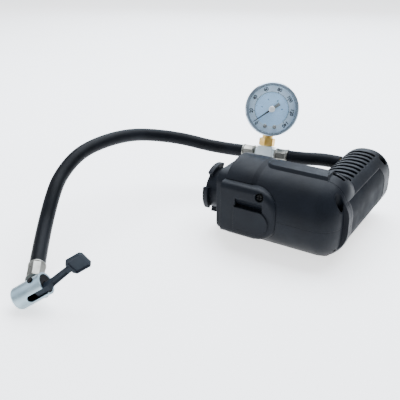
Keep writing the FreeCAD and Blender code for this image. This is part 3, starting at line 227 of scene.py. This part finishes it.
# steel with black oxide: nearly black, with a faint sheen. On the chuck core, plunger and lever pin this
# near-black is painted shade for the chuck's dark slot, and on the case screws it is their oxide plus painted
# shade for the dark holes they sit in
blackOxideAndPaintedShade = mouldedPlastic("blackOxideAndPaintedShade", {"deep": "#030304", "pale": "#060707", "smooth": 0.4, "dull": 0.55,
                                           "gloss": 0.08, "edge": 0.2 * mm})
paint(blackOxideAndPaintedShade, "case_screws", "lever_pin", "chuck_plunger", "chuck_core")
# nitrile rubber, moulded: matt and a little lumpy
softRubber = mouldedPlastic("softRubber", {"deep": "#08090a", "pale": "#0d0e10", "smooth": 0.7, "dull": 0.85,
                                           "gloss": 0.15, "depth": 0.06 * mm})
paint(softRubber, "rubber_feet", "hose_grommet", "chuck_seal", "head_gasket")
paint(hoseSkin, "hose_short", "hose_long")
# deep-drawn steel under zinc: long faint draw marks
drawnSteel = workedMetal("drawnSteel", {"deep": "#62676b", "pale": "#7d8286", "smooth": 0.3, "dull": 0.45,
                                        "stretch": (0.2, 1, 1)})
paint(drawnSteel, "motor_can", "gear_frame")
# steel, centreless-ground: bright, with fine rings round it
groundSteel = workedMetal("groundSteel", {"deep": "#7c8084", "pale": "#989ca0", "smooth": 0.18, "dull": 0.3,
                                          "mark": 1 * mm, "stretch": (1, 0.3, 0.3)})
paint(groundSteel, "rotor_shaft", "crank_shaft", "crank_pin", "wrist_pin", "valve_disc", "valve_spring",
      "head_screws", "pinion", "crank_gear")
# electrical steel, stacked 0.5 mm sheets: dark grey with lines across the stack
laminatedSteel = workedMetal("laminatedSteel", {"deep": "#26282a", "pale": "#3c3e40", "smooth": 0.45,
                                                "dull": 0.6, "mark": 10 * mm, "stretch": (20, 1, 1)})
paint(laminatedSteel, "rotor_core", "motor_magnets")
# copper wire, enamelled and wound: reddish brown, broken up turn by turn
copperWire = workedMetal("copperWire", {"deep": "#7a3f22", "pale": "#9c5d37", "smooth": 0.3, "dull": 0.4,
                                        "mark": 0.8 * mm})
paint(copperWire, "rotor_windings", "commutator")
# bronze, sintered: brown and open-grained
sinteredBronze = workedMetal("sinteredBronze", {"deep": "#6b4f2b", "pale": "#836636", "smooth": 0.45,
                                                "dull": 0.6, "mark": 0.6 * mm, "depth": 0.04 * mm})
paint(sinteredBronze, "drive_bushings")
# aluminium, die-cast and shot-blasted: grey and evenly rough
castAluminium = workedMetal("castAluminium", {"deep": "#6f7275", "pale": "#888b8e", "smooth": 0.4,
                                              "dull": 0.58, "mark": 0.8 * mm, "depth": 0.05 * mm})
paint(castAluminium, "con_rod", "piston", "cylinder", "cylinder_head")
# PTFE with filler: waxy brown
filledPtfe = mouldedPlastic("filledPtfe", {"deep": "#32271b", "pale": "#3f3326", "smooth": 0.5, "dull": 0.6,
                                           "gloss": 0.3})
paint(filledPtfe, "piston_ring")
# brass, turned: warm yellow, with rings from the lathe
turnedBrass = workedMetal("turnedBrass", {"deep": "#d8ad55", "pale": "#f2cf82", "smooth": 0.4, "dull": 0.6,
                                          "mark": 2 * mm, "stretch": (1, 1, 5), "cloud": 5 * mm})
paint(turnedBrass, "contact_blades", "valve_cap", "outlet_fitting", "gauge_socket", "gauge_movement")
# steel under pale zinc: cool, nearly white, with little reflection
paleZinc = workedMetal("paleZinc", {"deep": "#c9d4d6", "pale": "#dfe6e7", "smooth": 0.45, "dull": 0.65})
paint(paleZinc, "tee_block")
# brass under nickel, crimped: warmer than zinc, with lengthwise streaks
brightNickel = workedMetal("brightNickel", {"deep": "#6f6e68", "pale": "#8b8a83", "smooth": 0.25,
                                            "dull": 0.42, "stretch": (0.3, 1, 1)})
paint(brightNickel, "tee_ferrules", "chuck_ferrule")
# steel under chromium: cool and close to a mirror
chromePlate = workedMetal("chromePlate", {"deep": "#8494a2", "pale": "#9dadba", "smooth": 0.12, "dull": 0.26})
paint(chromePlate, "gauge_case", "gauge_bezel")
# steel under zinc, tumbled: blue-white satin
satinZinc = workedMetal("satinZinc", {"deep": "#84979f", "pale": "#9aacb4", "smooth": 0.34, "dull": 0.5,
                                      "mark": 6 * mm})
paint(satinZinc, "chuck_body")
# glass-filled nylon, moulded: dark slate, dry-looking
slateNylon = mouldedPlastic("slateNylon", {"deep": "#151c23", "pale": "#1d252d", "smooth": 0.45, "dull": 0.6,
                                           "gloss": 0.12, "edge": 0.4 * mm})
paint(slateNylon, "chuck_lever")
# steel under aged zinc: beige-grey, dull
dullZinc = workedMetal("dullZinc", {"deep": "#82847f", "pale": "#a5a6a0", "smooth": 0.35, "dull": 0.5,
                                    "mark": 1 * mm})
paint(dullZinc, "dial_screws")
# steel, turned and polished: nearly white
polishedSteel = workedMetal("polishedSteel", {"deep": "#dfe4e7", "pale": "#f0f3f4", "smooth": 0.35,
                                              "dull": 0.5, "mark": 1 * mm})
paint(polishedSteel, "needle_hub")
print("case, metals and rubber finished")

# gauge: the frame of its face (x right, y up from the stem, z towards the eye), and the numbers on its dial
gaugePlace = {"tee": (-49.15, 36.9, 46.7), "teeTurn": 6, "teeTip": -2, "teeLean": -18,
              "rise": 42.2, "faceTurn": 24, "faceForward": 9}  # mm and degrees
gaugeFrame = (Matrix.Translation(Vector(gaugePlace["tee"]) * mm)
              @ Matrix.Rotation(radians(gaugePlace["teeTurn"]), 4, "Z")
              @ Matrix.Rotation(radians(gaugePlace["teeTip"]), 4, "Y")
              @ Matrix.Rotation(radians(gaugePlace["teeLean"]), 4, "X")
              @ Matrix.Translation(Vector((0, 0, gaugePlace["rise"] * mm)))
              @ Matrix.Rotation(radians(gaugePlace["faceTurn"]), 4, "Z")
              @ Matrix.Rotation(radians(90), 4, "X")
              @ Matrix.Translation(Vector((0, 0, gaugePlace["faceForward"] * mm))))
# radii and sizes in mm, angles in degrees: a step is 20 psi on the outer scale and 1 bar on the inner
dialLook = {"face": -1.85, "printDepth": 0.06, "zero": 138.3, "psiStep": 38.6, "barStep": 28.0,
            "ringRadius": 15.7, "ringWidth": 0.3, "numberRadius": 19.0, "numberSize": 4.4, "innerRadius": 9.4,
            "innerSize": 2.4, "bold": 0.04, "longTick": 1.7, "middleTick": 1.2, "shortTick": 0.6,
            "boldTickWidth": 0.55, "tickWidth": 0.28, "innerGap": 0.5, "innerLongTick": 1.5,
            "innerShortTick": 0.8, "innerTickWidth": 0.2, "ink": "#05080c", "blueInk": "#24507c",
            "outer": "#b9d4ea", "inner": "#a9d6fb", "mottle": 9.091, "grain": 1.1111}
dialCentre = gaugeFrame.translation


def dialEnamel(look):
    # stove enamel, sprayed: a flat pale blue, and a clearer blue printed inside the scale's circle
    material = newMaterial("dialEnamel")
    place = addNode(material, "ShaderNodeTexCoord").outputs["Object"]
    reach = addNode(material, "ShaderNodeVectorMath", {"operation": "DISTANCE"}, {0: place})
    reach.inputs[1].default_value = dialCentre
    disc = addNode(material, "ShaderNodeMapRange", {"From Min": (look["ringRadius"] - 0.1) * mm,
                   "From Max": (look["ringRadius"] + 0.4) * mm}, {"Value": reach.outputs["Value"]})
    base = addNode(material, "ShaderNodeMixRGB",
                   {"Color1": linear(look["inner"]), "Color2": linear(look["outer"])},
                   {"Fac": disc.outputs["Result"]})
    cloud = addNode(material, "ShaderNodeTexNoise", {"Scale": 1 / (look["mottle"] * mm), "Detail": 4.0},
                    {"Vector": place})
    tone = addNode(material, "ShaderNodeMapRange",
                   {"From Min": 0.3, "From Max": 0.7, "To Min": 0.88, "To Max": 1.08},
                   {"Value": cloud.outputs["Fac"]})
    colour = addNode(material, "ShaderNodeVectorMath", {"operation": "SCALE"},
                     {0: base.outputs["Color"], "Scale": tone.outputs["Result"]})
    grain = addNode(material, "ShaderNodeTexNoise", {"Scale": 1 / (look["grain"] * mm), "Detail": 2.0},
                    {"Vector": place})
    bump = addNode(material, "ShaderNodeBump", {"Strength": 0.3, "Distance": 0.01 * mm},
                   {"Height": grain.outputs["Fac"]})
    shader = addNode(material, "ShaderNodeBsdfPrincipled", {"Roughness": 0.5, "IOR": 1.5},
                     {"Base Color": colour.outputs["Vector"], "Normal": bump.outputs["Normal"]})
    addNode(material, "ShaderNodeOutputMaterial", links={"Surface": shader.outputs["BSDF"]})
    return material


def printInk(name, hexColour):
    # screen ink, pad-printed: matt, thinning out in patches that are drawn 0.8 mm across so that they show
    material = newMaterial(name)
    place = addNode(material, "ShaderNodeTexCoord").outputs["Object"]
    patch = addNode(material, "ShaderNodeTexNoise", {"Scale": 1 / (0.8333 * mm), "Detail": 3.0},
                    {"Vector": place})
    tone = addNode(material, "ShaderNodeMapRange", {"From Min": 0.35, "From Max": 0.75},
                   {"Value": patch.outputs["Fac"]})
    full = linear(hexColour)
    thin = tuple(min(1, part * 2.2 + 0.01) for part in full[:3]) + (1.0,)
    colour = addNode(material, "ShaderNodeMixRGB", {"Color1": full, "Color2": thin},
                     {"Fac": tone.outputs["Result"]})
    shader = addNode(material, "ShaderNodeBsdfPrincipled",
                     {"Roughness": 0.6, "IOR": 1.5, "Specular IOR Level": 0.3},
                     {"Base Color": colour.outputs["Color"]})
    addNode(material, "ShaderNodeOutputMaterial", links={"Surface": shader.outputs["BSDF"]})
    return material


def needlePaint(look):
    # aluminium strip with a sprayed black blade and a bare grey tail: the paint ends 1 mm behind the axis
    material = newMaterial("needlePaint")
    place = addNode(material, "ShaderNodeTexCoord").outputs["Object"]
    turn = radians(look["rest"])
    along = gaugeFrame.to_3x3() @ Vector((cos(turn), sin(turn), 0))
    reach = addNode(material, "ShaderNodeVectorMath", {"operation": "SUBTRACT"}, {0: place})
    reach.inputs[1].default_value = dialCentre
    side = addNode(material, "ShaderNodeVectorMath", {"operation": "DOT_PRODUCT"},
                   {0: reach.outputs["Vector"]})
    side.inputs[1].default_value = along
    blade = addNode(material, "ShaderNodeMapRange", {"From Min": -1.1 * mm, "From Max": -0.9 * mm},
                    {"Value": side.outputs["Value"]})
    speck = addNode(material, "ShaderNodeTexNoise", {"Scale": 1 / (1.4286 * mm), "Detail": 3.0},
                    {"Vector": place})
    colour = addNode(material, "ShaderNodeMixRGB",
                     {"Color1": linear(look["tail"]), "Color2": linear(look["blade"])},
                     {"Fac": blade.outputs["Result"]})
    rough = addNode(material, "ShaderNodeMapRange", {"To Min": 0.35, "To Max": 0.55},
                    {"Value": speck.outputs["Fac"]})
    shader = addNode(material, "ShaderNodeBsdfPrincipled", {"IOR": 1.5, "Specular IOR Level": 0.2},
                     {"Base Color": colour.outputs["Color"], "Roughness": rough.outputs["Result"]})
    addNode(material, "ShaderNodeOutputMaterial", links={"Surface": shader.outputs["BSDF"]})
    return material


def clearLens(look):
    # polycarbonate, moulded: clear, with a breath of haze where it was wiped
    material = newMaterial("clearLens")
    place = addNode(material, "ShaderNodeTexCoord").outputs["Object"]
    wipe = addNode(material, "ShaderNodeTexNoise", {"Scale": 1 / (11.11 * mm), "Detail": 3.0},
                   {"Vector": place})
    rough = addNode(material, "ShaderNodeMapRange", {"To Min": look["clear"], "To Max": look["hazy"]},
                    {"Value": wipe.outputs["Fac"]})
    shader = addNode(material, "ShaderNodeBsdfPrincipled",
                     {"Base Color": linear(look["tint"]), "Alpha": look["body"], "IOR": 1.5,
                      "Specular IOR Level": 0.5}, {"Roughness": rough.outputs["Result"]})
    addNode(material, "ShaderNodeOutputMaterial", links={"Surface": shader.outputs["BSDF"]})
    return material


paint(dialEnamel(dialLook), "gauge_dial")
paint(needlePaint({"rest": 220, "blade": "#07090d", "tail": "#6d7270"}), "gauge_needle")
paint(clearLens({"tint": "#dfeaf3", "body": 0.03, "clear": 0.02, "hazy": 0.08}), "gauge_lens")
blackInk = printInk("blackInk", dialLook["ink"])
blueInk = printInk("blueInk", dialLook["blueInk"])


def dialAngle(degreesOn):
    return radians(90 + dialLook["zero"] - degreesOn)


def addTick(mesh, degreesOn, inner, outer, width):
    # a short bar from one radius to another, turned to its place on the scale
    bar = bmesh.ops.create_grid(mesh, x_segments=1, y_segments=1, size=0.5)["verts"]
    bmesh.ops.scale(mesh, vec=(outer - inner, width, 1), verts=bar)
    bmesh.ops.translate(mesh, vec=((outer + inner) / 2, 0, 0), verts=bar)
    bmesh.ops.rotate(mesh, cent=(0, 0, 0), verts=bar, matrix=Matrix.Rotation(dialAngle(degreesOn), 3, "Z"))


def addCircle(mesh, radius, width, start, end, steps):
    # a thin band: an edge spun about the dial's centre over part of a turn
    ends = [mesh.verts.new((reach * cos(start), reach * sin(start), 0))
            for reach in (radius - width / 2, radius + width / 2)]
    edge = mesh.edges.new(ends)
    bmesh.ops.spin(mesh, geom=[*ends, edge], cent=(0, 0, 0), axis=(0, 0, 1), angle=end - start, steps=steps)


def settleDial(name, mesh, material):
    # gives the print its thickness and lays it on the enamel, a hair sunk in, facing the eye
    mesh.normal_update()
    bmesh.ops.reverse_faces(mesh, faces=[f for f in mesh.faces if f.normal.z < 0])
    bmesh.ops.remove_doubles(mesh, verts=mesh.verts, dist=0.0005)
    bmesh.ops.solidify(mesh, geom=mesh.faces[:], thickness=dialLook["printDepth"])
    bmesh.ops.translate(mesh, vec=(0, 0, dialLook["face"]), verts=mesh.verts)
    bmesh.ops.transform(mesh, matrix=gaugeFrame @ Matrix.Scale(mm, 4), verts=mesh.verts)
    bmesh.ops.recalc_face_normals(mesh, faces=mesh.faces)
    data = bpy.data.meshes.new(name)
    mesh.to_mesh(data)
    mesh.free()
    data.materials.append(material)
    piece = bpy.data.objects.new(name, data)
    bpy.context.scene.collection.objects.link(piece)
    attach(piece, "body")
    return piece


def addNumber(mesh, text, size, radius, degreesOn):
    # the text becomes a mesh first and then goes to its place, its foot towards the centre
    curve = bpy.data.curves.new("number" + text, "FONT")
    curve.body = text
    curve.size = size
    curve.align_x = "CENTER"
    curve.align_y = "CENTER"
    curve.offset = size * dialLook["bold"]
    curve.resolution_u = 3
    made = bpy.data.objects.new("number" + text, curve)
    bpy.context.scene.collection.objects.link(made)
    bpy.context.view_layer.update()
    flat = bpy.data.meshes.new_from_object(made.evaluated_get(bpy.context.evaluated_depsgraph_get()))
    bpy.data.objects.remove(made)
    angle = dialAngle(degreesOn)
    flat.transform(Matrix.Translation(Vector((radius * cos(angle), radius * sin(angle), 0)))
                   @ Matrix.Rotation(angle - pi / 2, 4, "Z"))
    mesh.from_mesh(flat)
    bpy.data.meshes.remove(flat)


outerPrint = bmesh.new()
ring = dialLook["ringRadius"]
for tick in range(71):  # every 2 psi, longer at the tens and longest at the numbers
    reach = dialLook["longTick" if tick % 10 == 0 else "middleTick" if tick % 5 == 0 else "shortTick"]
    width = dialLook["boldTickWidth" if tick % 10 == 0 else "tickWidth"]
    addTick(outerPrint, dialLook["psiStep"] * tick / 10, ring, ring + reach, width)
addCircle(outerPrint, ring, dialLook["ringWidth"], dialAngle(0), dialAngle(dialLook["psiStep"] * 7), 90)
innerPrint = bmesh.new()
innerRing = ring - dialLook["innerGap"]
for tick in range(49):  # every 0.2 bar
    reach = dialLook["innerLongTick" if tick % 5 == 0 else "innerShortTick"]
    addTick(innerPrint, dialLook["barStep"] * tick / 5, innerRing - reach, innerRing,
            dialLook["innerTickWidth"])
for value in range(0, 141, 20):
    addNumber(outerPrint, str(value), dialLook["numberSize"], dialLook["numberRadius"],
              dialLook["psiStep"] * value / 20)
for value in range(2, 9, 2):
    addNumber(innerPrint, str(value), dialLook["innerSize"], dialLook["innerRadius"],
              dialLook["barStep"] * value)
dialPieces = [settleDial("outerPrint", outerPrint, blackInk), settleDial("innerPrint", innerPrint, blueInk)]
print("dial printed")

# table and light: a white table that glows a little, as paper does when it is lit from behind
tableLook = {"tone": "#f4f5f6", "palest": "#fbfbfc", "glow": 1.6, "halfWidth": 6, "cloud": 0.1667}
tableMesh = bpy.data.meshes.new("table")
tableShape = bmesh.new()
bmesh.ops.create_grid(tableShape, x_segments=1, y_segments=1, size=tableLook["halfWidth"])
tableShape.to_mesh(tableMesh)
tableShape.free()
table = bpy.data.objects.new("table", tableMesh)
bpy.context.scene.collection.objects.link(table)
paper = newMaterial("seamlessPaper")
paperPlace = addNode(paper, "ShaderNodeTexCoord").outputs["Object"]
paperCloud = addNode(paper, "ShaderNodeTexNoise", {"Scale": 1 / tableLook["cloud"], "Detail": 2.0},
                     {"Vector": paperPlace})
paperTone = addNode(paper, "ShaderNodeMixRGB",
                    {"Color1": linear(tableLook["tone"]), "Color2": linear(tableLook["palest"])},
                    {"Fac": paperCloud.outputs["Fac"]})
paperShader = addNode(paper, "ShaderNodeBsdfPrincipled",
                      {"Roughness": 0.9, "Specular IOR Level": 0.2, "Emission Color": (1, 1, 1, 1),
                       "Emission Strength": tableLook["glow"]},
                      {"Base Color": paperTone.outputs["Color"]})
addNode(paper, "ShaderNodeOutputMaterial", links={"Surface": paperShader.outputs["BSDF"]})
tableMesh.materials.append(paper)

studio = {"sky": "#eef3fa", "skyStrength": 0.7}
world = bpy.data.worlds.new("softbox")
bpy.context.scene.world = world
world.use_nodes = True
world.node_tree.nodes["Background"].inputs["Color"].default_value = linear(studio["sky"])
world.node_tree.nodes["Background"].inputs["Strength"].default_value = studio["skyStrength"]


def addLamp(name, place, target, size, power, colour):
    light = bpy.data.lights.new(name, "AREA")
    light.shape = "RECTANGLE"
    light.size, light.size_y = size
    light.energy = power
    light.color = linear(colour)[:3]
    lamp = bpy.data.objects.new(name, light)
    lamp.location = place
    lamp.rotation_euler = (Vector(target) - Vector(place)).to_track_quat("-Z", "Y").to_euler()
    bpy.context.scene.collection.objects.link(lamp)


addLamp("overhead", (-0.1, 0.35, 1.0), (-0.05, 0, 0.03), (1.3, 0.9), 36, "#eef5ff")
addLamp("leftPanel", (-0.9, -0.7, 0.6), (-0.05, -0.05, 0.04), (0.9, 0.7), 5, "#e6f0ff")
addLamp("backPanel", (-0.5, 1.0, 0.55), (-0.05, 0, 0.06), (1.2, 0.6), 9, "#e2efff")
print("stage lit")
